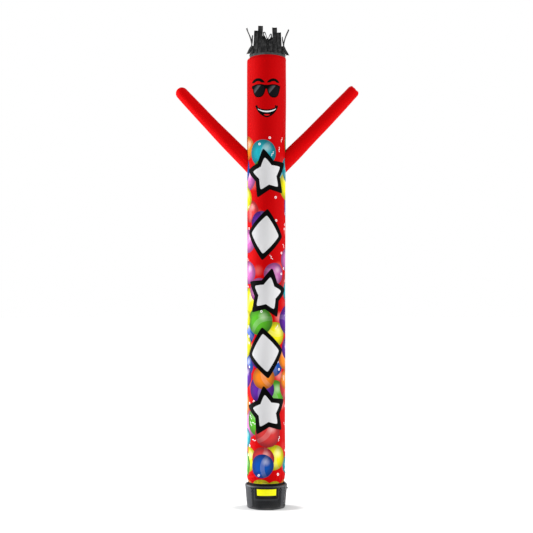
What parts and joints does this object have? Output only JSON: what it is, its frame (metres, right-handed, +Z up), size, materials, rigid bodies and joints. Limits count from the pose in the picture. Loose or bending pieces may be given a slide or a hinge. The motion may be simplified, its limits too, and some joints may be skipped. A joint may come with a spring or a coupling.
{
  "type": "inflatable air dancer with blower",
  "caption": "Tall red cloth tube figure with raised arms and loose black hair strips, strapped over the round outlet of a low black tub blower.",
  "frame": {"origin": "middle of the blower's flat base, on the floor", "axes": "+Z up along the tube, -Y out of the figure's face, +X to the right as seen from the front"},
  "size_m": [2.195, 0.5058, 5.7392],
  "materials": {
    "red_cloth": "matte",
    "black_cloth": "matte",
    "black_webbing": "matte",
    "black_fittings": "satin",
    "black_shell": "satin",
    "black_label": "satin",
    "yellow_panel": "satin"
  },
  "bodies": {
    "root": {"body_tube": "red_cloth", "arm_left": "red_cloth", "arm_right": "red_cloth", "hair_crown": "black_cloth", "base_strap": "black_webbing", "strap_buckle": "black_fittings", "blower_housing": "black_shell", "outlet_deck": "black_shell", "side_knob": "black_fittings", "label_plate": "black_label", "label_panel": "yellow_panel"}
  },
  "joints": []
}
